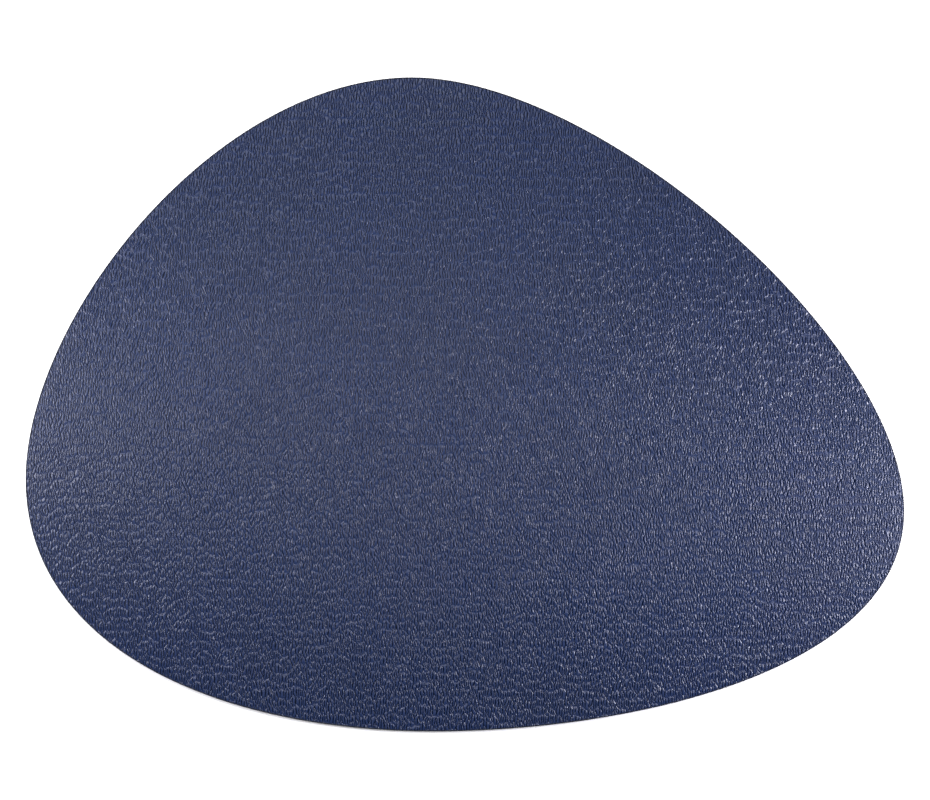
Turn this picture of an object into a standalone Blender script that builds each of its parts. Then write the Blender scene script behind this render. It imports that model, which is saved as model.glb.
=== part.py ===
"""Pebble-shaped table mat, laid up from thin plies and finished with a painted edge.

From the underside up the plies are a grained film, its base cloth, a bond film, the
stiffener board, a bond film, a base cloth and the face's grained film, so both sides are
alike and the mat stays flat. The plies are die-cut together, and the coat of edge paint
that closes the cut laps a little way over both faces.

Units are metres. X runs along the mat, Y across it, and Z out of its face. The origin is the
middle of the outline's bounding box, on the underside.
"""

import math

import bmesh
import bpy
from mathutils import Vector
from mathutils.geometry import interpolate_bezier

# Outline: a closed curve with one smooth node at each extreme of the mat.
LENGTH = 0.440  # left extreme to right extreme
WIDTH = 0.3275  # near extreme to far extreme
FAR_NODE_X = -0.0265
RIGHT_NODE_Y = -0.0535
NEAR_NODE_X = -0.0155
LEFT_NODE_Y = -0.0375

# How far each node's two handles reach along the outline's tangent there.
FAR_HANDLE_TO_LEFT = 0.098
FAR_HANDLE_TO_RIGHT = 0.095
RIGHT_HANDLE_TO_FAR = 0.0845
RIGHT_HANDLE_TO_NEAR = 0.080
NEAR_HANDLE_TO_RIGHT = 0.099
NEAR_HANDLE_TO_LEFT = 0.1095
LEFT_HANDLE_TO_NEAR = 0.0835
LEFT_HANDLE_TO_FAR = 0.081

# Plies
FILM_THICKNESS = 0.00025
CLOTH_THICKNESS = 0.00045
BOND_THICKNESS = 0.00008
BOARD_THICKNESS = 0.00050
PLY_GAP = 0.00003  # hairline between neighbours, so that no two bodies touch

# Edge coat, and the shoulder that the cutting die presses into each grained film under it
COAT_WALL = 0.00020  # paint on the cut wall
COAT_LAP = 0.00060  # reach of the paint over each face, from the outline
COAT_ROUND = 0.00030  # radius of its outer corners
SHOULDER_DROP = 0.00012  # depth of the paint on each shoulder, at the cut

# Facets
POINTS_PER_SPAN = 32  # from each node of the outline to the next
STEPS_PER_ROUND = 2

# Colours, linear
NAVY_GRAIN = (0.048, 0.070, 0.136)
NAVY_EDGE = (0.010, 0.014, 0.030)
CLOTH_GREY = (0.100, 0.115, 0.160)
BOARD_BROWN = (0.230, 0.170, 0.110)
BOND_AMBER = (0.560, 0.520, 0.420)


def outline_spans():
    """The four Bezier spans of the outline, counter-clockwise seen from above."""
    far = Vector((FAR_NODE_X, WIDTH / 2))
    left = Vector((-LENGTH / 2, LEFT_NODE_Y))
    near = Vector((NEAR_NODE_X, -WIDTH / 2))
    right = Vector((LENGTH / 2, RIGHT_NODE_Y))
    along = Vector((1, 0))
    across = Vector((0, 1))
    return (
        (far, far - along * FAR_HANDLE_TO_LEFT, left + across * LEFT_HANDLE_TO_FAR, left),
        (left, left - across * LEFT_HANDLE_TO_NEAR, near - along * NEAR_HANDLE_TO_LEFT, near),
        (near, near + along * NEAR_HANDLE_TO_RIGHT, right - across * RIGHT_HANDLE_TO_NEAR, right),
        (right, right + across * RIGHT_HANDLE_TO_FAR, far + along * FAR_HANDLE_TO_RIGHT, far),
    )


def outline_points(inset):
    """The outline moved inwards by inset, as XY points."""
    points = []
    for span in outline_spans():
        points += interpolate_bezier(*span, POINTS_PER_SPAN + 1)[:-1]
    moved = []
    for index, point in enumerate(points):
        ahead = points[(index + 1) % len(points)]
        tangent = (ahead - points[index - 1]).normalized()
        inwards = Vector((-tangent.y, tangent.x))
        moved.append(point + inwards * inset)
    return moved


def add_rim(bm, inset, height):
    """Points of one closed rim that follows the outline at this inset and height."""
    return [bm.verts.new((x, y, height)) for x, y in outline_points(inset)]


def add_wall(bm, lower, upper):
    """One facet between each pair of neighbouring points of two rims."""
    for index, corner in enumerate(lower):
        bm.faces.new((lower[index - 1], corner, upper[index], upper[index - 1]))


def plate(bm, section):
    """A solid plate. Its section lists the rim's (inset, height) points from the bottom up."""
    rims = [add_rim(bm, inset, height) for inset, height in section]
    for lower, upper in zip(rims, rims[1:]):
        add_wall(bm, lower, upper)
    bm.faces.new(rims[0])
    bm.faces.new(rims[-1])


def band(bm, section):
    """A closed ring round the mat. Its section is a closed loop of (inset, height) points."""
    rims = [add_rim(bm, inset, height) for inset, height in section]
    for lower, upper in zip(rims, rims[1:] + rims[:1]):
        add_wall(bm, lower, upper)


def finish_material(name, colour, roughness):
    material = bpy.data.materials.new(name)
    material.use_nodes = True
    shader = material.node_tree.nodes["Principled BSDF"]
    shader.inputs["Base Color"].default_value = (*colour, 1)
    shader.inputs["Roughness"].default_value = roughness
    shader.inputs["Metallic"].default_value = 0
    material.diffuse_color = (*colour, 1)
    return material


def add_node(name, build, section, material):
    """A named object whose mesh one of the two builders above makes from a section."""
    bm = bmesh.new()
    build(bm, section)
    bmesh.ops.recalc_face_normals(bm, faces=bm.faces)
    mesh = bpy.data.meshes.new(name)
    bm.to_mesh(mesh)
    bm.free()
    mesh.materials.append(material)
    node = bpy.data.objects.new(name, mesh)
    bpy.context.scene.collection.objects.link(node)
    return node


def ply_stack():
    """Name, thickness, colour and roughness of each ply, from the underside up."""
    return (
        ("back_grain_film", FILM_THICKNESS, NAVY_GRAIN, 0.50),
        ("back_base_cloth", CLOTH_THICKNESS, CLOTH_GREY, 0.95),
        ("back_bond_film", BOND_THICKNESS, BOND_AMBER, 0.35),
        ("stiffener_board", BOARD_THICKNESS, BOARD_BROWN, 0.90),
        ("face_bond_film", BOND_THICKNESS, BOND_AMBER, 0.35),
        ("face_base_cloth", CLOTH_THICKNESS, CLOTH_GREY, 0.95),
        ("face_grain_film", FILM_THICKNESS, NAVY_GRAIN, 0.50),
    )


def film_shoulder():
    """Inset where a film's shoulder meets its flat, and the drop from the flat to the cut."""
    reach_per_drop = (COAT_LAP - COAT_WALL) / SHOULDER_DROP
    inset = COAT_LAP + PLY_GAP * (1 + reach_per_drop)
    return inset, SHOULDER_DROP + PLY_GAP


def ply_section(bottom, top, is_lowest, is_highest):
    """Rim of one ply: square at the cut, with a shoulder on the mat's two outer faces."""
    cut = COAT_WALL + PLY_GAP
    flat_inset, drop = film_shoulder()
    section = [(cut, bottom), (cut, top)]
    if is_lowest:
        section = [(flat_inset, bottom), (cut, bottom + drop), (cut, top)]
    if is_highest:
        section = [(cut, bottom), (cut, top - drop), (flat_inset, top)]
    return section


def quarter_round(centre_inset, centre_height, start_angle):
    """Points of a coat corner, turned clockwise in the (inset, height) plane."""
    points = []
    for step in range(STEPS_PER_ROUND + 1):
        angle = start_angle - math.pi / 2 * step / STEPS_PER_ROUND
        inset = centre_inset + COAT_ROUND * math.cos(angle)
        height = centre_height + COAT_ROUND * math.sin(angle)
        points.append((inset, height))
    return points


def coat_section(thickness):
    """Closed section of the edge coat, from the underside's lap round the wall to the face's."""
    lower_corner = quarter_round(COAT_ROUND, COAT_ROUND, -math.pi / 2)
    upper_corner = quarter_round(COAT_ROUND, thickness - COAT_ROUND, math.pi)
    inner_wall = [(COAT_WALL, thickness - SHOULDER_DROP), (COAT_WALL, SHOULDER_DROP)]
    return [(COAT_LAP, 0), *lower_corner, *upper_corner, (COAT_LAP, thickness), *inner_wall]


def build_mat():
    plies = ply_stack()
    bottom = 0
    for index, (name, thickness, colour, roughness) in enumerate(plies):
        top = bottom + thickness
        section = ply_section(bottom, top, index == 0, index == len(plies) - 1)
        add_node(name, plate, section, finish_material(name, colour, roughness))
        bottom = top + PLY_GAP
    mat_thickness = bottom - PLY_GAP
    coat = finish_material("edge_coat", NAVY_EDGE, 0.45)
    add_node("edge_coat", band, coat_section(mat_thickness), coat)


def clear_scene():
    for old in list(bpy.data.objects):
        bpy.data.objects.remove(old)


clear_scene()
build_mat()
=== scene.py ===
# %% [markdown]
# # A pebble-shaped table mat
#
# The mat is a thin laminate. A grained film, its base cloth and a bond film lie on each side
# of a stiffener board, and edge paint closes the cut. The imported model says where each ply
# lies, and it stays the measure of everything here. The plies could be drawn as one slab with
# a leather finish, but then there would be nothing to see at the edge and nothing to take
# apart, so each ply is made as its own piece.

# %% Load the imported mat
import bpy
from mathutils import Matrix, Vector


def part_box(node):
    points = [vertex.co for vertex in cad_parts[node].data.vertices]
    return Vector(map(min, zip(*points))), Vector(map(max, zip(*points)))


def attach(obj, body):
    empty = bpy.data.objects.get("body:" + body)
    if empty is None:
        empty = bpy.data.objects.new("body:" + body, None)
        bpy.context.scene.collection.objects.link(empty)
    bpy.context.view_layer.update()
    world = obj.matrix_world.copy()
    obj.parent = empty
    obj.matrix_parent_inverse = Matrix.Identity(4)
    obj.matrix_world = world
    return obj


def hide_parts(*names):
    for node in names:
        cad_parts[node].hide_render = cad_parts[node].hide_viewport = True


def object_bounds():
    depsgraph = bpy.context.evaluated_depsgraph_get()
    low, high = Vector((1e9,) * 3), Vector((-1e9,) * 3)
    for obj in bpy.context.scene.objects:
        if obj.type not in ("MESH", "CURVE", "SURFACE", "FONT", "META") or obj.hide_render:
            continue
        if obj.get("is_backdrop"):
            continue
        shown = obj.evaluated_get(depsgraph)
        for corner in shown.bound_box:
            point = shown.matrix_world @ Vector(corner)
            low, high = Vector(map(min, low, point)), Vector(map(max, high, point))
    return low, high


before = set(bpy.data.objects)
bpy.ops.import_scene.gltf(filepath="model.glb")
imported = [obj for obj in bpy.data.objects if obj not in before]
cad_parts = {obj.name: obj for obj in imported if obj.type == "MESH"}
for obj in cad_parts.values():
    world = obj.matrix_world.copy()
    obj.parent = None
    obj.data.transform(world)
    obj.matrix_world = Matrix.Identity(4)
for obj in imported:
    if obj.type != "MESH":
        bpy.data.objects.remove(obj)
cad_low, cad_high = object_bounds()

MM = 0.001

# %% [markdown]
# A ply's real thickness comes from the roll it is cut from. The thicknesses could be typed in
# again here, but two copies of a number drift apart. Each ply's underside and top are read
# from its node's box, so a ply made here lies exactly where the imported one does.

# %% Measure the plies
PLIES_UP = (
    "back_grain_film",
    "back_base_cloth",
    "back_bond_film",
    "stiffener_board",
    "face_bond_film",
    "face_base_cloth",
    "face_grain_film",
)
levels = {}
for node_name in (*PLIES_UP, "edge_coat"):
    lowest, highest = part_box(node_name)
    levels[node_name] = (lowest.z, highest.z)
    print(f"{node_name}: {lowest.z / MM:.2f} to {highest.z / MM:.2f} mm")
ply_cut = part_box("stiffener_board")[0].x - cad_low.x
print(f"the plies stop {ply_cut / MM:.2f} mm short of the outline")

# %% [markdown]
# The outline is drawn the way a die maker would draw it: one smooth node where the mat
# touches each side of its box, and two handles on each node that set how slowly the curve
# leaves that side. A ring of measured points would give the same shape and hide how simple
# it is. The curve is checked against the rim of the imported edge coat.

# %% Draw the outline
from mathutils import Vector
from mathutils.geometry import interpolate_bezier

FAR_NODE_X = -0.0265
RIGHT_NODE_Y = -0.0535
NEAR_NODE_X = -0.0155
LEFT_NODE_Y = -0.0375
FAR_HANDLES = (0.098, 0.095)  # to the left, to the right
LEFT_HANDLES = (0.081, 0.0835)  # to the far side, to the near side
NEAR_HANDLES = (0.1095, 0.099)  # to the left, to the right
RIGHT_HANDLES = (0.080, 0.0845)  # to the near side, to the far side
POINTS_PER_SPAN = 64


def outline_spans():
    """The outline's four Bezier spans, counter-clockwise from the far node."""
    far = Vector((FAR_NODE_X, cad_high.y))
    left = Vector((cad_low.x, LEFT_NODE_Y))
    near = Vector((NEAR_NODE_X, cad_low.y))
    right = Vector((cad_high.x, RIGHT_NODE_Y))
    along = Vector((1, 0))
    across = Vector((0, 1))
    return (
        (far, far - along * FAR_HANDLES[0], left + across * LEFT_HANDLES[0], left),
        (left, left - across * LEFT_HANDLES[1], near - along * NEAR_HANDLES[0], near),
        (near, near + along * NEAR_HANDLES[1], right - across * RIGHT_HANDLES[0], right),
        (right, right + across * RIGHT_HANDLES[1], far + along * FAR_HANDLES[1], far),
    )


def walk_outline():
    """Each point of the outline, with the direction that leads straight into the mat."""
    points = []
    for span in outline_spans():
        points += interpolate_bezier(*span, POINTS_PER_SPAN + 1)[:-1]
    walked = []
    for index, point in enumerate(points):
        ahead = points[(index + 1) % len(points)]
        tangent = (ahead - points[index - 1]).normalized()
        walked.append((point, Vector((-tangent.y, tangent.x))))
    return walked


rim = walk_outline()


def outline_points(inset):
    """The outline moved inwards by inset."""
    return [point + inwards * inset for point, inwards in rim]


packed_rim = [vert.co.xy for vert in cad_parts["edge_coat"].data.vertices]
strays = [min((point - packed).length for packed in packed_rim) for point, _ in rim[::2]]
print(f"{len(rim)} points, within {max(strays) / MM:.3f} mm of the packed rim")

# %% [markdown]
# A mat of this kind never lies like a sheet of steel. The laminate keeps a swell of a few
# tenths of a millimetre from the roll its cloths came off, and the light moves over the face
# with it. A cloth simulation would sag a soft sheet, but this stack is stiff and lies on a
# table. All the plies are bonded and share one swell, so one smooth noise field lifts every
# piece by the same amount at the same place.

# %% Let the stack swell
from mathutils import noise

SWELL_HEIGHT = 0.45 * MM
SWELL_LENGTH = 0.16
SWELL_GAIN = 1.6
NOISE_SLICE = 0.37


def swell(point):
    """How far the stack is lifted off the table at a point, never below it."""
    place = Vector((point.x / SWELL_LENGTH, point.y / SWELL_LENGTH, NOISE_SLICE))
    wave_height = max(-1.0, min(1.0, SWELL_GAIN * noise.noise(place)))
    return SWELL_HEIGHT * (1 + wave_height) / 2


def settle(bm):
    for vert in bm.verts:
        vert.co.z += swell(vert.co)


rim_swell = [swell(point) for point, _ in rim]
print(f"the rim is lifted {min(rim_swell) / MM:.2f} to {max(rim_swell) / MM:.2f} mm")

# %% [markdown]
# A ply starts as the one flat face that the die cuts out: a capped circle, with each of its
# points moved to the die's line. Insetting that face again and again, each time a little
# smaller round the middle, lays rings of quads inside it, which the swell needs to bend.
# Extruding the result down gives the ply its thickness. A grid trimmed with the outline would
# do as well, but it leaves slivers at the cut, just where the light catches the edge.

# %% Cut a ply
import bmesh
from mathutils import Matrix

RING_COUNT = 26
MIDDLE = Vector((-0.01, -0.03, 0))  # where the rings close
MILLILITRES = 1e6  # in a cubic metre


def cut_face(bm, inset):
    """The flat face inside the die's line, moved inwards by inset."""
    disc = bmesh.ops.create_circle(bm, cap_ends=True, segments=len(rim), radius=1)
    for vert, (x, y) in zip(disc["verts"], outline_points(inset)):
        vert.co = (x, y, 0)
    bm.faces.ensure_lookup_table()
    return bm.faces[0]


def lay_rings(bm, face):
    """Fills the face with rings of quads down to a small fan in the middle."""
    about_middle = Matrix.Translation(-MIDDLE)
    for ring in range(RING_COUNT - 1):
        shrink = (RING_COUNT - ring - 1) / (RING_COUNT - ring)
        bmesh.ops.inset_individual(bm, faces=[face], thickness=0)
        bmesh.ops.scale(bm, vec=(shrink, shrink, 1), space=about_middle, verts=face.verts)
    bmesh.ops.poke(bm, faces=[face])


def thicken(bm, bottom):
    """Extrudes the whole sheet down to a flat underside."""
    grown = bmesh.ops.extrude_face_region(bm, geom=bm.faces[:])["geom"]
    for vert in (part for part in grown if isinstance(part, bmesh.types.BMVert)):
        vert.co.z = bottom
    bmesh.ops.recalc_face_normals(bm, faces=bm.faces)


def plain_ply(bottom, top):
    """A ply that is square at the cut."""
    bm = bmesh.new()
    lay_rings(bm, cut_face(bm, ply_cut))
    bmesh.ops.translate(bm, vec=(0, 0, top), verts=bm.verts)
    thicken(bm, bottom)
    return bm


trial = plain_ply(*levels["stiffener_board"])
print(f"a ply has {len(trial.faces)} faces and {trial.calc_volume() * MILLILITRES:.1f} ml")
trial.free()

# %% [markdown]
# The grained films differ in one way. The die presses their edge down as it cuts, so the
# surface rolls over into a soft shoulder before it meets the paint. A bevel would round the
# corner but not reach so far in. Four narrow insets lay the rings for it instead, and each
# ring drops further the nearer it is to the cut. The back film is the same ply turned over.

# %% Roll a film's shoulder
SHOULDER_WIDTH = 0.50 * MM
SHOULDER_DROP = 0.15 * MM
SHOULDER_RINGS = 4


def shoulder_drop(inset):
    """How far a film's surface has rolled down at an inset from the outline."""
    left_to_roll = max(0.0, 1 - (inset - ply_cut) / SHOULDER_WIDTH)
    return SHOULDER_DROP * left_to_roll**2


def film_ply(bottom, top):
    """A grained film with its shoulder on the upper side."""
    bm = bmesh.new()
    face = cut_face(bm, ply_cut)
    step = SHOULDER_WIDTH / SHOULDER_RINGS
    for ring in range(SHOULDER_RINGS):
        for vert in face.verts:
            vert.co.z = top - shoulder_drop(ply_cut + ring * step)
        bmesh.ops.inset_individual(bm, faces=[face], thickness=step)
    for vert in face.verts:
        vert.co.z = top
    lay_rings(bm, face)
    thicken(bm, bottom)
    return bm


def turn_over(bm, bottom, top):
    """Turns a ply over in place, so that its shoulder is underneath."""
    bmesh.ops.scale(bm, vec=(1, 1, -1), verts=bm.verts)
    bmesh.ops.translate(bm, vec=(0, 0, bottom + top), verts=bm.verts)
    bmesh.ops.recalc_face_normals(bm, faces=bm.faces)
    return bm


print(f"at the cut the film has rolled down {shoulder_drop(ply_cut) / MM:.2f} mm")

# %% [markdown]
# The edge paint is a bead that wraps the cut and laps a little way over both films. Rounding
# a plain strip with a bevel would leave its lap as thick as its wall, but real paint thins
# out to nothing there. So its section is drawn point by point: the lap, a quarter turn, the
# wall, and the same again above, with an inner side that follows the films' shoulders.

# %% Draw the paint's section
import math

COAT_LAP = 0.62 * MM
COAT_WALL = 0.20 * MM
COAT_ROUND = 0.32 * MM
COAT_PROUD = 0.03 * MM
HAIRLINE = 0.01 * MM  # between the paint and the film under it
ROUND_STEPS = 6


def coat_section(bottom, top):
    """The bead's closed section as (inset, height) points, from the lap underneath."""
    outer = [(COAT_LAP, shoulder_drop(COAT_LAP) - HAIRLINE)]
    for step in range(ROUND_STEPS + 1):
        turn = math.pi / 2 * step / ROUND_STEPS
        depth = COAT_ROUND * (1 - math.cos(turn)) - COAT_PROUD
        outer.append((COAT_ROUND * (1 - math.sin(turn)), depth))
    under_lap = (COAT_WALL, (COAT_WALL + COAT_LAP) / 2)
    inner = [(inset, shoulder_drop(inset) - HAIRLINE) for inset in under_lap]
    section = [(inset, bottom + depth) for inset, depth in outer]
    section += [(inset, top - depth) for inset, depth in reversed(outer)]
    section += [(inset, top - depth) for inset, depth in reversed(inner)]
    section += [(inset, bottom + depth) for inset, depth in inner]
    return section


print(f"the bead's section has {len(coat_section(*levels['edge_coat']))} points")

# %% [markdown]
# A moulding is made by carrying its section along a line, and so is this bead. An extrusion
# of the rim's edges makes each new line of the section, and the last line is welded to the
# first. Spin would do this on a round mat, and a curve with a bevel would do it here too, but
# the bead's lap wanders a little, as paint from a roller does, and with the rim in hand each
# line can be moved by itself.

# %% Sweep the edge paint
LAP_WANDER = 0.10 * MM
WANDER_PACE = 9  # how often the lap strays on its way round
WELD_DISTANCE = 0.001 * MM


def wander(index):
    """How far the paint's lap strays at a point of the outline."""
    turn = 2 * math.pi * index / len(rim)
    place = Vector((math.cos(turn), math.sin(turn), NOISE_SLICE)) * WANDER_PACE
    return LAP_WANDER * noise.noise(place)


def sweep(section):
    """Carries a closed section round the outline and welds it shut."""
    bm = bmesh.new()
    station = bm.verts.layers.int.new("station")
    rails = {inset: outline_points(inset) for inset, _ in section}
    circle = bmesh.ops.create_circle(bm, segments=len(rim), radius=1)
    for index, vert in enumerate(circle["verts"]):
        vert[station] = index
        vert.co = Vector((*rails[section[0][0]][index], section[0][1]))
    edges = bm.edges[:]
    for inset, height in section[1:] + section[:1]:
        grown = bmesh.ops.extrude_edge_only(bm, edges=edges)["geom"]
        edges = [part for part in grown if isinstance(part, bmesh.types.BMEdge)]
        for vert in (part for part in grown if isinstance(part, bmesh.types.BMVert)):
            vert.co = Vector((*rails[inset][vert[station]], height))
    bmesh.ops.remove_doubles(bm, verts=bm.verts, dist=WELD_DISTANCE)
    lap_starts = (COAT_ROUND + COAT_LAP) / 2
    for vert in bm.verts:
        here, inwards = rim[vert[station]]
        if (vert.co.xy - here).length > lap_starts:
            vert.co.xy += inwards * wander(vert[station])
    bmesh.ops.recalc_face_normals(bm, faces=bm.faces)
    return bm


laps = [COAT_LAP + wander(index) for index in range(len(rim))]
print(f"the paint laps {min(laps) / MM:.2f} to {max(laps) / MM:.2f} mm over the film")

# %% [markdown]
# Each piece becomes an object with its place in its mesh, because a imported part's origin is
# shared and nothing is moved afterwards. Smooth shading with sharp cut edges costs nothing; a bevel
# on every ply would add thousands of faces nobody can see between the layers. The piece then rides
# on the mat's one body and stands for its imported node, which is hidden.

# %% Finish a piece
import bpy

SHARP_ANGLE = math.radians(40)
pieces = {}


def add_piece(name, bm, node_name):
    settle(bm)
    mesh = bpy.data.meshes.new(name)
    bm.to_mesh(mesh)
    bm.free()
    mesh.shade_smooth()
    mesh.set_sharp_from_angle(angle=SHARP_ANGLE)
    piece = bpy.data.objects.new(name, mesh)
    bpy.context.scene.collection.objects.link(piece)
    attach(piece, "root")
    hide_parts(node_name)
    pieces[name] = piece
    print(f"{name}: {len(mesh.polygons)} faces")


# %% [markdown]
# The stack goes down in the order it is bonded in, from the underside up. Three sorts of ply
# are cut twice, once for each side of the board, so that both sides pull on it alike and it
# stays flat. A linked copy would save a mesh, but each ply takes the swell at its own place.

# %% Lay the stack
back_levels = levels["back_grain_film"]
back_film = turn_over(film_ply(*back_levels), *back_levels)
add_piece("grain_film_back", back_film, "back_grain_film")
for name, node_name, slot in (
    ("base_cloth_back", "back_base_cloth", "base_cloth"),
    ("bond_film_back", "back_bond_film", "bond_film"),
    ("stiffener", "stiffener_board", "board"),
    ("bond_film_face", "face_bond_film", "bond_film"),
    ("base_cloth_face", "face_base_cloth", "base_cloth"),
):
    add_piece(name, plain_ply(*levels[node_name]), node_name)
face_film = film_ply(*levels["face_grain_film"])
add_piece("grain_film_face", face_film, "face_grain_film")
paint_bead = sweep(coat_section(*levels["edge_coat"]))
add_piece("edge_paint", paint_bead, "edge_coat")

# %% [markdown]
# The films and cloths are sheets, die-cut flat from the roll and laid in the stack, so their
# cut size is the ply's own box. The area inside the die's line could be counted from the
# mesh, but the shoelace formula gives it from the outline alone.

cut_rim = outline_points(ply_cut)
cut_area = sum(a.cross(b) for a, b in zip(cut_rim, cut_rim[1:] + cut_rim[:1])) / 2

# %% [markdown]
# Now the finishes. Shader maths could be wired by hand, node by node, but it reads best as
# arithmetic, so one small class wraps a shader socket and turns each operator into a Math
# node. Every other node comes from its one method, which takes the node's type, its settings,
# and the values or wires of its inputs.


# %% Write shader maths as expressions
class Wire:
    """A shader socket that can be used in arithmetic."""

    def __init__(self, tree, socket=None):
        self.tree = tree
        self.socket = socket

    def node(self, kind, settings, inputs, output=0):
        """Adds a node of a kind, and returns one of its outputs as a wire."""
        made = self.tree.nodes.new("ShaderNode" + kind)
        for setting, value in settings.items():
            setattr(made, setting, value)
        for socket, value in inputs.items():
            if isinstance(value, Wire):
                self.tree.links.new(value.socket, made.inputs[socket])
            else:
                made.inputs[socket].default_value = value
        return Wire(self.tree, made.outputs[output])

    def math(self, operation, first, second):
        return self.node("Math", {"operation": operation}, {0: first, 1: second})

    def __add__(self, other):
        return self.math("ADD", self, other)

    def __sub__(self, other):
        return self.math("SUBTRACT", self, other)

    def __rsub__(self, other):
        return self.math("SUBTRACT", other, self)

    def __mul__(self, other):
        return self.math("MULTIPLY", self, other)

    def __truediv__(self, other):
        return self.math("DIVIDE", self, other)

    __radd__ = __add__
    __rmul__ = __mul__


def plug(wire, node, socket):
    """Leads a wire into a socket of a node that is already there."""
    wire.tree.links.new(wire.socket, node.inputs[socket])


def new_material(name, roughness):
    """A material, its wire kit and its Principled shader."""
    material = bpy.data.materials.new(name)
    material.use_nodes = True
    shader = material.node_tree.nodes["Principled BSDF"]
    shader.inputs["Roughness"].default_value = roughness
    return material, Wire(material.node_tree), shader


# %% [markdown]
# Patterns are mixed from a few plain tools. A ramp turns any value into another range, softly
# or in a straight line; a blend runs from one colour to another; a cloud is soft noise of a
# size. Everything reads Object coordinates, so the pattern is in real millimetres and stays
# on the piece.


# %% Tools for patterns
MIDDLING = (0.35, 0.65)  # where nearly all of a cloud's values lie


def linear(wire, start, end, low=0.0, high=1.0, kind="LINEAR"):
    """Runs from low to high while the wire runs from start to end."""
    limits = {"From Min": start, "From Max": end, "To Min": low, "To Max": high}
    return wire.node("MapRange", {"interpolation_type": kind}, {"Value": wire, **limits})


def ramp(wire, start, end, low=0.0, high=1.0):
    """The same, but it starts and stops softly."""
    return linear(wire, start, end, low, high, "SMOOTHSTEP")


def blend(amount, first, second):
    """A colour between two others."""
    return amount.node("Mix", {"data_type": "RGBA"}, {0: amount, 6: first, 7: second}, 2)


def cloud(place, size, detail=0.0, output="Fac"):
    """Soft noise whose blotches are about a size across."""
    inputs = {"Vector": place, "Scale": 1 / size, "Detail": detail}
    return place.node("TexNoise", {"noise_dimensions": "2D"}, inputs, output)


NOISE_MIDDLE = (-0.5, -0.5, -0.5)  # brings noise from 0 to 1 to either side of nothing


def moved(place, step):
    """The place moved by a step."""
    return place.node("VectorMath", {"operation": "ADD"}, {0: place, 1: step})


def shifted(place, size, reach, detail=0.0):
    """The place moved about by a cloud of a size, by at most about the reach."""
    drift = moved(cloud(place, size, detail, "Color"), NOISE_MIDDLE)
    inputs = {0: drift, "Scale": 2 * reach}
    return moved(place, place.node("VectorMath", {"operation": "SCALE"}, inputs))


def measured(place, direction):
    """How far the place lies along a direction."""
    return place.node("VectorMath", {"operation": "DOT_PRODUCT"}, {0: place, 1: direction}, "Value")


def relief(height, depth=1.0):
    """A bump whose height runs over a depth in metres."""
    return height.node("Bump", {}, {"Strength": 1.0, "Distance": depth, "Height": height})


# %% [markdown]
# The grain is what makes the mat look like leather. Its pebbles are a millimetre and a
# quarter wide, three times as long, and parted by narrow creases. A scan of real leather
# would repeat and have one fixed size. A Voronoi texture's distance to the nearest cell edge
# gives the creases at any size, on cells stretched by a Mapping. Two clouds bend the
# coordinates first, so that the creases waver and the grain slowly changes direction over
# the hide.

# %% Grain coordinates
PEBBLE_WIDTH = 1.25 * MM
PEBBLE_LENGTH = 4.2 * MM
DRIFT_SIZE = 60 * MM
DRIFT_REACH = 1.2 * MM
WAVER_SIZE = 3.6 * MM
WAVER_REACH = 0.6 * MM
WAVER_DETAIL = 1.0


def hide_place(place):
    """The place on the hide, after it has drifted and wavered."""
    drifted = shifted(place, DRIFT_SIZE, DRIFT_REACH)
    return shifted(drifted, WAVER_SIZE, WAVER_REACH, WAVER_DETAIL)


def cell_units(place, width, length, angle=0.0):
    """The place counted in cells of a width and a length."""
    turned = place.node("Mapping", {}, {"Vector": place, "Rotation": (0, 0, angle)})
    return place.node("Mapping", {}, {"Vector": turned, "Scale": (1 / width, 1 / length, 1)})


def cells_of(place, feature, output):
    """One output of a pattern of cells a unit across."""
    settings = {"voronoi_dimensions": "2D", "feature": feature}
    return place.node("TexVoronoi", settings, {"Vector": place, "Scale": 1.0}, output)


def edge_distance(cells):
    return cells_of(cells, "DISTANCE_TO_EDGE", "Distance")


# %% [markdown]
# In embossed leather the creases that run along the grain are the deep, closed ones, and
# those that cross it are only dents. The distance to the edge doesn't say which way an edge
# runs. So it is measured three times, here and a step to each side: across a lengthwise
# crease it rises on both sides, and along a crossing one it stays the same. The sum of the
# two rises marks only the lengthwise creases.

# %% Find the lengthwise creases
CREASE_REACH = 0.40  # of a cell's width


def lengthwise_creases(cells, distance):
    """1 along the creases that run lengthwise, 0 a reach away and along those that cross."""
    before = edge_distance(moved(cells, (-CREASE_REACH, 0, 0)))
    after = edge_distance(moved(cells, (CREASE_REACH, 0, 0)))
    return ramp((before + after - distance * 2) / (2 * CREASE_REACH), 0.0, 1.0)


# %% [markdown]
# The relief is added up in real depths. A pebble is a low dome, steep at the crease and flat
# on top, and no two are quite the same height. The lengthwise creases cut into it, smaller
# wrinkles cross it, and a fine cloud roughens it. Displacing the mesh by a quarter of a
# millimetre would take millions of faces, and a bump gives the same light. The emboss roll
# also presses harder towards the near right of the hide, so the depth grows that way.

# %% Grain relief
DOME_HEIGHT = 0.24 * MM
DOME_REACH = 0.42  # of a cell's width
CREASE_DEPTH = 0.05 * MM
HEIGHT_SPREAD = 0.02 * MM
WRINKLE_DEPTH = 0.04 * MM
WRINKLE_CELL = (0.62, 0.55)  # of a pebble's width and length
WRINKLE_REACH = 0.20
FINE_DEPTH = 0.012 * MM
FINE_SIZE = 0.8 * MM
FINE_DETAIL = 2.0
PRESSED_WAY = (0.6, -0.8, 0)
PRESS_SPAN = (-0.15, 0.15)  # from lightly to fully pressed, in metres along that way
LIGHT_PRESS = 0.75
FULL_PRESS = 1.25


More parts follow.
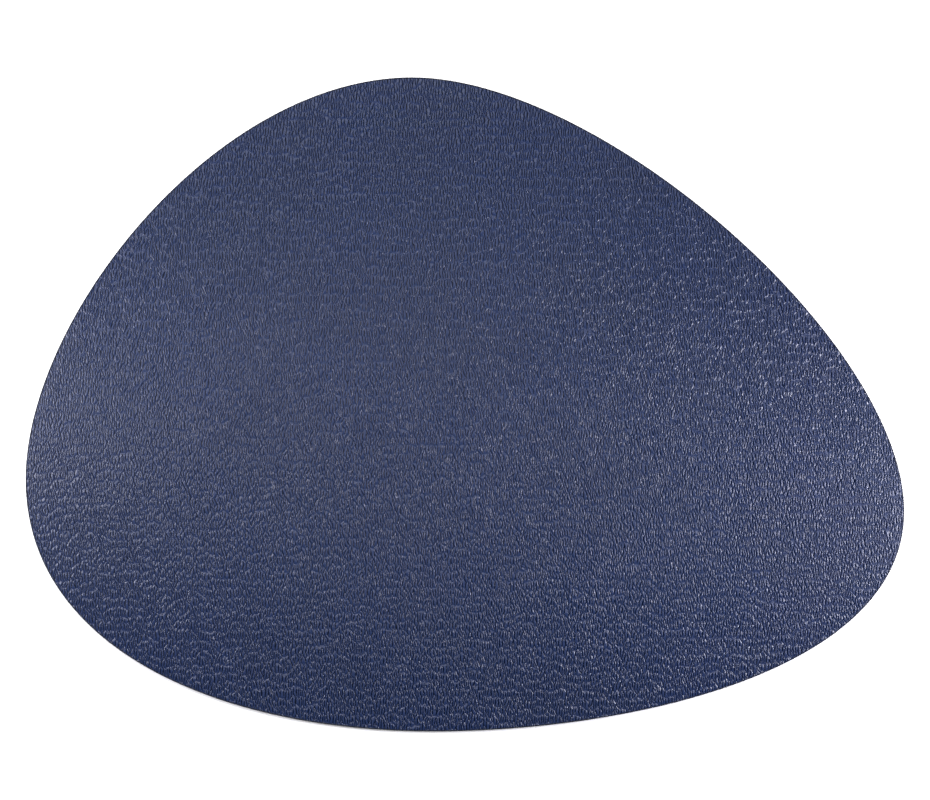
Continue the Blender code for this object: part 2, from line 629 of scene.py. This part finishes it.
def grain_height(place, on_hide, lengthwise, distance, cells):
    """Height of the grained surface in metres."""
    fall = 1 - linear(distance, 0.0, DOME_REACH)
    pebble = 1 - fall * fall
    own_height = cells_of(cells, "F1", "Color")
    wrinkle_width = PEBBLE_WIDTH * WRINKLE_CELL[0]
    wrinkle_length = PEBBLE_LENGTH * WRINKLE_CELL[1]
    wrinkle_cells = cell_units(on_hide, wrinkle_width, wrinkle_length)
    wrinkle = ramp(edge_distance(wrinkle_cells), 0.0, WRINKLE_REACH)
    press = linear(measured(place, PRESSED_WAY), *PRESS_SPAN, LIGHT_PRESS, FULL_PRESS)
    height = pebble * DOME_HEIGHT - lengthwise * CREASE_DEPTH
    height += own_height * pebble * HEIGHT_SPREAD
    height += wrinkle * WRINKLE_DEPTH
    height += cloud(place, FINE_SIZE, FINE_DETAIL) * FINE_DEPTH
    return height * press


# %% [markdown]
# The film is a near-black navy, and almost all that is seen of it is gloss. Over the rubbed tops of
# the pebbles lies a thin haze of finish, which is a coat layer with its own softer roughness, and
# it follows the large shape and not the grain. In the closed creases neither light nor finish gets
# down, and that shade is painted in. The colour turns to a near-black navy there, and a Mix Shader
# swaps in a dull shader of that navy. A darker colour alone would leave the highlights, so the
# painted shade changes the shader as well. The painted crease shade grows stronger towards the near
# right, the same way as the emboss's depth.

# %% Grained film
PEBBLE_NAVY = (0.0040, 0.0138, 0.056, 1)
CLOUD_NAVY = (0.0047, 0.0138, 0.053, 1)
# painted shade: the near-black navy that stands for the shade in the closed creases
CREASE_SHADE_NAVY = (0.0015, 0.0035, 0.011, 1)
CLOUD_SIZE = 70 * MM
CLOUD_DETAIL = 2.0
# how far the painted crease shade reaches into a crease, and how strong it is from far left to near
# right
SHADE_END = 0.24
SHADE_SPAN = (-0.15, 0.10)
SHADE_WEAK = 0.6
SHADE_STRONG = 1.0
TOP_END = 0.3
TOP_ROUGHNESS = 0.26
CREASE_ROUGHNESS = 0.45
DULL_ROUGHNESS = 0.9
HAZE_WEIGHT = 0.29
HAZE_ROUGHNESS = 0.42


def grained_film():
    material, kit, shader = new_material("grained_film", TOP_ROUGHNESS)
    shader.inputs["Coat Weight"].default_value = HAZE_WEIGHT
    shader.inputs["Coat Roughness"].default_value = HAZE_ROUGHNESS
    place = kit.node("TexCoord", {}, {}, "Object")
    on_hide = hide_place(place)
    cells = cell_units(on_hide, PEBBLE_WIDTH, PEBBLE_LENGTH)
    distance = edge_distance(cells)
    lengthwise = lengthwise_creases(cells, distance)
    # painted shade: where the dark crease colour and the dull shader take over
    crease_shade = ramp(lengthwise, 0.0, SHADE_END)
    shade = ramp(cloud(place, CLOUD_SIZE, CLOUD_DETAIL), *MIDDLING)
    ground = blend(shade, PEBBLE_NAVY, CLOUD_NAVY)
    plug(blend(crease_shade, ground, CREASE_SHADE_NAVY), shader, "Base Color")
    roughness = ramp(lengthwise, TOP_END, 1.0, TOP_ROUGHNESS, CREASE_ROUGHNESS)
    plug(roughness, shader, "Roughness")
    height = grain_height(place, on_hide, lengthwise, distance, cells)
    plug(relief(height), shader, "Normal")
    # painted shade: a dull near-black shader without gloss, mixed into the creases
    no_gloss = {"Roughness": DULL_ROUGHNESS, "Specular IOR Level": 0.0}
    crease_shade_shader = kit.node("BsdfPrincipled", {}, {"Base Color": CREASE_SHADE_NAVY, **no_gloss})
    shade_strength = linear(measured(place, PRESSED_WAY), *SHADE_SPAN, SHADE_WEAK, SHADE_STRONG)
    glossy = Wire(kit.tree, shader.outputs[0])
    mixed = kit.node("MixShader", {}, {0: crease_shade * shade_strength, 1: glossy, 2: crease_shade_shader})
    plug(mixed, kit.tree.nodes["Material Output"], "Surface")
    return material


# %% [markdown]
# Edge paint goes on by roller in two or three coats. It dries to a satin, near-black navy
# with faint ripples along the edge. One colour would look like a drawn line, so one fine
# cloud gives it its relief, a little wear in its colour and a little change in its gloss.

# %% Edge paint
PAINT_NAVY = (0.006, 0.008, 0.016, 1)
PAINT_WORN = (0.010, 0.012, 0.022, 1)
PAINT_ROUGHNESS = 0.50
PAINT_GLOSS = 0.2
RIPPLE_SIZE = 1.6 * MM
RIPPLE_DEPTH = 0.04 * MM
RIPPLE_DETAIL = 3.0
RIPPLE_DULLING = 0.16
WORN_FROM = (0.4, 0.7)


def edge_paint():
    material, kit, shader = new_material("satin_paint", PAINT_ROUGHNESS)
    shader.inputs["Specular IOR Level"].default_value = PAINT_GLOSS
    ripple = cloud(kit.node("TexCoord", {}, {}, "Object"), RIPPLE_SIZE, RIPPLE_DETAIL)
    plug(blend(ramp(ripple, *WORN_FROM), PAINT_NAVY, PAINT_WORN), shader, "Base Color")
    plug(PAINT_ROUGHNESS + RIPPLE_DULLING * ripple, shader, "Roughness")
    plug(relief(ripple, RIPPLE_DEPTH), shader, "Normal")
    return material


# %% [markdown]
# The base cloth is a fine knit. Its wales are columns of loops less than a millimetre apart.
# Real loops could be modelled as yarn, but half a million of them would lie between two
# plies, unseen. One wave across makes the columns, and a second, bent by the first, makes the
# loops down each of them.

# %% Base cloth
WALE_PITCH = 0.9 * MM
COURSE_PITCH = 0.65 * MM
LOOP_DEPTH = 0.12 * MM
YARN_GREY = (0.115, 0.130, 0.180, 1)
# painted shade: the darker colour in the gaps between the loops
YARN_GAP_SHADE = (0.050, 0.058, 0.085, 1)
YARN_ROUGHNESS = 0.95
YARN_SHEEN = 0.2
PULL_SIZE = 8 * MM
PULL_REACH = 0.15 * MM
WALE_SHARE = 0.6
YARN_SPAN = (0.25, 0.75)


WAVE_UNIT = 20  # a wave texture of scale 1 turns through 20 radians in a metre


def wave(place, direction, pitch):
    """A sine wave of a pitch along one axis, from 0 to 1."""
    settings = {"wave_type": "BANDS", "bands_direction": direction}
    inputs = {"Vector": place, "Scale": 2 * math.pi / (WAVE_UNIT * pitch)}
    return place.node("TexWave", settings, inputs, "Fac")


def knitted_cloth():
    material, kit, shader = new_material("knitted_cloth", YARN_ROUGHNESS)
    shader.inputs["Sheen Weight"].default_value = YARN_SHEEN
    place = shifted(kit.node("TexCoord", {}, {}, "Object"), PULL_SIZE, PULL_REACH)
    wales = wave(place, "X", WALE_PITCH)
    leaning = kit.node("CombineXYZ", {}, {"Y": wales * (COURSE_PITCH / 2)})
    loops = wave(moved(place, leaning), "Y", COURSE_PITCH)
    knit = wales * WALE_SHARE + loops * (1 - WALE_SHARE)
    # painted shade: the colour goes darker where the knit's relief is low, in the gaps between the
    # loops
    plug(blend(ramp(knit, *YARN_SPAN), YARN_GAP_SHADE, YARN_GREY), shader, "Base Color")
    plug(relief(knit, LOOP_DEPTH), shader, "Normal")
    return material


# %% [markdown]
# The bond film is a hot-melt web. Pressed between cloth and board it sets to a smooth, cloudy
# amber skin with thin spots where it has flowed. It could be made clear, but in the stack
# there is nothing behind it to see, so a cloud between two ambers does.

# %% Bond film
BOND_CLEAR = (0.58, 0.53, 0.42, 1)
BOND_CLOUD = (0.44, 0.38, 0.27, 1)
BOND_ROUGHNESS = 0.28
FLOW_SIZE = 5 * MM
FLOW_DEPTH = 0.05 * MM
FLOW_DETAIL = 4.0
FLOW_DULLING = 0.2


def hot_melt_film():
    material, kit, shader = new_material("hot_melt_film", BOND_ROUGHNESS)
    flow = cloud(kit.node("TexCoord", {}, {}, "Object"), FLOW_SIZE, FLOW_DETAIL)
    plug(blend(ramp(flow, *MIDDLING), BOND_CLEAR, BOND_CLOUD), shader, "Base Color")
    plug(BOND_ROUGHNESS + FLOW_DULLING * flow, shader, "Roughness")
    plug(relief(flow, FLOW_DEPTH), shader, "Normal")
    return material


# %% [markdown]
# The stiffener is pressed fibre board: short strands at all angles, some paler than the rest.
# Plain noise looks like cloud and not like fibre. Noise on coordinates stretched ten to one
# gives strands, and three layers of it, each turned to its own angle, give the felted mix.

# %% Fibre board
BOARD_BROWN = (0.235, 0.170, 0.105, 1)
BOARD_STRAND = (0.360, 0.285, 0.190, 1)
STRAND_WIDTH = 0.5 * MM
STRAND_LENGTH = 5 * MM
STRAND_ANGLES = (0.3, 1.4, 2.5)
STRAND_DEPTH = 0.06 * MM
STRAND_DETAIL = 2.0
PALE_STRANDS = (0.42, 0.62)
FELT_SIZE = 6 * MM
FELT_REACH = 1 * MM
BOARD_ROUGHNESS = 0.9


def pressed_fibre():
    material, kit, shader = new_material("pressed_fibre", BOARD_ROUGHNESS)
    place = shifted(kit.node("TexCoord", {}, {}, "Object"), FELT_SIZE, FELT_REACH)
    strands = 0.0
    for angle in STRAND_ANGLES:
        lain = cell_units(place, STRAND_WIDTH, STRAND_LENGTH, angle)
        strands = cloud(lain, 1.0, STRAND_DETAIL) / len(STRAND_ANGLES) + strands
    plug(blend(ramp(strands, *PALE_STRANDS), BOARD_BROWN, BOARD_STRAND), shader, "Base Color")
    plug(relief(strands, STRAND_DEPTH), shader, "Normal")
    return material


# %% [markdown]
# Pieces cut from the same roll wear the same finish, so each material is made once and given
# to every ply of its kind. A material for each piece would look no different and be harder to
# change.

# %% Put the materials on
grained = grained_film()
knitted = knitted_cloth()
bonding = hot_melt_film()
for name, material in (
    ("grain_film_back", grained),
    ("grain_film_face", grained),
    ("base_cloth_back", knitted),
    ("base_cloth_face", knitted),
    ("bond_film_back", bonding),
    ("bond_film_face", bonding),
    ("stiffener", pressed_fibre()),
    ("edge_paint", edge_paint()),
):
    pieces[name].data.materials.append(material)
    print(name, "wears", material.name)

# %% [markdown]
# The exported model holds the grain as a flat image wrapped on the film, and only one of the
# film's two sides is ever seen. An automatic unwrap would share the square between both. So
# the film brings its own map, in which the grained side takes nearly the whole square, and
# the glued side is a small copy in the space left over. The thin walls at the cut lean
# outwards round that copy, so that they have an area of their own too.

# %% Map the films for export
MAP_MARGIN = 0.01
SEEN_SHARE = 0.98
HIDDEN_SHARE = 0.20
HIDDEN_START = 0.78
LEVEL = 0.5  # a face whose normal rises more than this isn't a wall


def map_film(piece, seen_up):
    layer = piece.data.uv_layers.new(name="OFBake")
    length = cad_high.x - cad_low.x
    for face in piece.data.polygons:
        level = abs(face.normal.z) > LEVEL
        seen = level and (face.normal.z > 0) == seen_up
        share, start = (SEEN_SHARE, MAP_MARGIN) if seen else (HIDDEN_SHARE, HIDDEN_START)
        for corner in face.loop_indices:
            place = piece.data.vertices[piece.data.loops[corner].vertex_index].co
            spot = place.xy if level else place.xy + face.normal.xy * place.z
            spot = (spot - cad_low.xy) * (share / length)
            layer.uv[corner].vector = (spot.x + MAP_MARGIN, spot.y + start)
    print(f"{piece.name}: {len(piece.data.polygons)} faces mapped")


map_film(pieces["grain_film_face"], seen_up=True)
map_film(pieces["grain_film_back"], seen_up=False)

# %% [markdown]
# The mat lies on a plain pale floor. It could be a small sheet of paper, but from the side
# its end would show, so the floor reaches far past the view.

# %% Floor
FLOOR_SIZE = 40.0
FLOOR_GAP = 0.05 * MM
FLOOR_WHITE = (0.92, 0.92, 0.92, 1)
FLOOR_ROUGHNESS = 0.9


def add_floor():
    bm = bmesh.new()
    bmesh.ops.create_grid(bm, x_segments=1, y_segments=1, size=FLOOR_SIZE / 2)
    bmesh.ops.translate(bm, vec=(0, 0, cad_low.z - FLOOR_GAP), verts=bm.verts)
    mesh = bpy.data.meshes.new("floor")
    bm.to_mesh(mesh)
    bm.free()
    floor = bpy.data.objects.new("floor", mesh)
    bpy.context.scene.collection.objects.link(floor)
    material, _, shader = new_material("pale_floor", FLOOR_ROUGHNESS)
    shader.inputs["Base Color"].default_value = FLOOR_WHITE
    mesh.materials.append(material)
    floor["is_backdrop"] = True
    print(f"the floor lies {FLOOR_GAP / MM:.2f} mm under the mat")


add_floor()

# %% [markdown]
# The room is a pale wall under a dark ceiling, with one bright panel straight overhead. A
# white room all round would wash the navy out, because a glossy film shows what it mirrors.
# The panel only shows in views from above, where it gives the haze something to mirror, and
# it is brighter towards the far side.

# %% Room
ROOM_WALL = 0.62
WALL_TOP = (0.14, 0.28)
CEILING_DARK = 0.08
PANEL_BRIGHT = 2.7
PANEL_WAY = (-0.30, 0.95, 0)
PANEL_START = (-0.04, 0.24)
OVERHEAD = (0.80, 0.92)


def add_room():
    world = bpy.data.worlds.new("room")
    bpy.context.scene.world = world
    world.use_nodes = True
    backdrop = world.node_tree.nodes["Background"]
    backdrop.inputs["Color"].default_value = (1, 1, 1, 1)
    direction = Wire(world.node_tree).node("TexCoord", {}, {}, "Generated")
    up = measured(direction, (0, 0, 1))
    panel = ramp(measured(direction, PANEL_WAY), *PANEL_START) * ramp(up, *OVERHEAD)
    wall = 1 - ramp(up, *WALL_TOP)
    brightness = wall * (ROOM_WALL - CEILING_DARK) + CEILING_DARK + panel * PANEL_BRIGHT
    plug(brightness, backdrop, "Strength")
    print(f"wall {ROOM_WALL}, ceiling {CEILING_DARK}, panel {PANEL_BRIGHT}")


add_room()

# %% [markdown]
# Grain only shows where a pebble's flank turns towards a light. Light from straight above
# would flatten it, so two small softboxes stand low at the left and at the right. Each crease
# then has one lit flank, and the creases that run across the light all but vanish. A broad
# light behind and a soft sun whiten the floor. Those two are left out of reflections, because
# a glossy film would show them as a veil.

# %% Lights
COOL_WHITE = (0.98, 0.97, 1.12)
SIDE_BOX = {"shape": "RECTANGLE", "size": 0.09, "size_y": 0.16, "color": COOL_WHITE}
BACK_BOX = {"shape": "RECTANGLE", "size": 0.6, "size_y": 0.4}
SUN_SPREAD = {"angle": math.radians(90)}
LIGHTS = (  # name, kind, place, power in watts (for the sun, per square metre), make, mirrored
    ("softbox_right", "AREA", (0.365, -0.07, 0.24), 1.4, SIDE_BOX, True),
    ("softbox_left", "AREA", (-0.37, -0.015, 0.25), 0.64, SIDE_BOX, True),
    ("back_light", "AREA", (-0.25, 0.45, 0.65), 7.0, BACK_BOX, False),
    ("soft_sun", "SUN", (0.0, 0.2, 1.5), 1.2, SUN_SPREAD, False),
)


def add_light(name, kind, place, power, make, mirrored):
    data = bpy.data.lights.new(name, kind)
    data.energy = power
    for setting, value in make.items():
        setattr(data, setting, value)
    light = bpy.data.objects.new(name, data)
    light.location = place
    light.rotation_mode = "QUATERNION"
    light.rotation_quaternion = (-Vector(place)).to_track_quat("-Z", "Y")
    light.visible_camera = False
    light.visible_glossy = mirrored
    bpy.context.scene.collection.objects.link(light)
    print(f"{name}: {power} at {place}")


for light_facts in LIGHTS:
    add_light(*light_facts)

# %% [markdown]
# The mat is looked at from straight above. A flat camera would show the same outline, but a
# lens a metre away looks at each side of the mat from its own angle, and the gloss changes
# over the face with it. The height follows from how wide a strip of table fills the view.

# %% Camera
VIEW_WIDTH = 0.4656
VIEW_MIDDLE = (0.0000, 0.0022)
LENS = 80.0  # in millimetres, as the sensor is
SENSOR = 36.0


def add_camera():
    data = bpy.data.cameras.new("camera")
    data.lens = LENS
    data.sensor_width = SENSOR
    camera = bpy.data.objects.new("camera", data)
    camera.location = (*VIEW_MIDDLE, cad_high.z + VIEW_WIDTH * LENS / SENSOR)
    bpy.context.scene.collection.objects.link(camera)
    bpy.context.scene.camera = camera
    print(f"the camera is {camera.location.z:.3f} m above the table")


add_camera()
bpy.context.scene.view_settings.view_transform = "Standard"

# %% [markdown]
# Last, the two boxes are written down, so that anybody can see that the finished mat is still
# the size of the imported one. Only the swell and the paint's thickness come on top.

low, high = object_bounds()
grown_by = [round((high - low - cad_high + cad_low)[axis] / MM, 2) for axis in range(3)]
print("the finished mat is bigger by", grown_by, "mm")
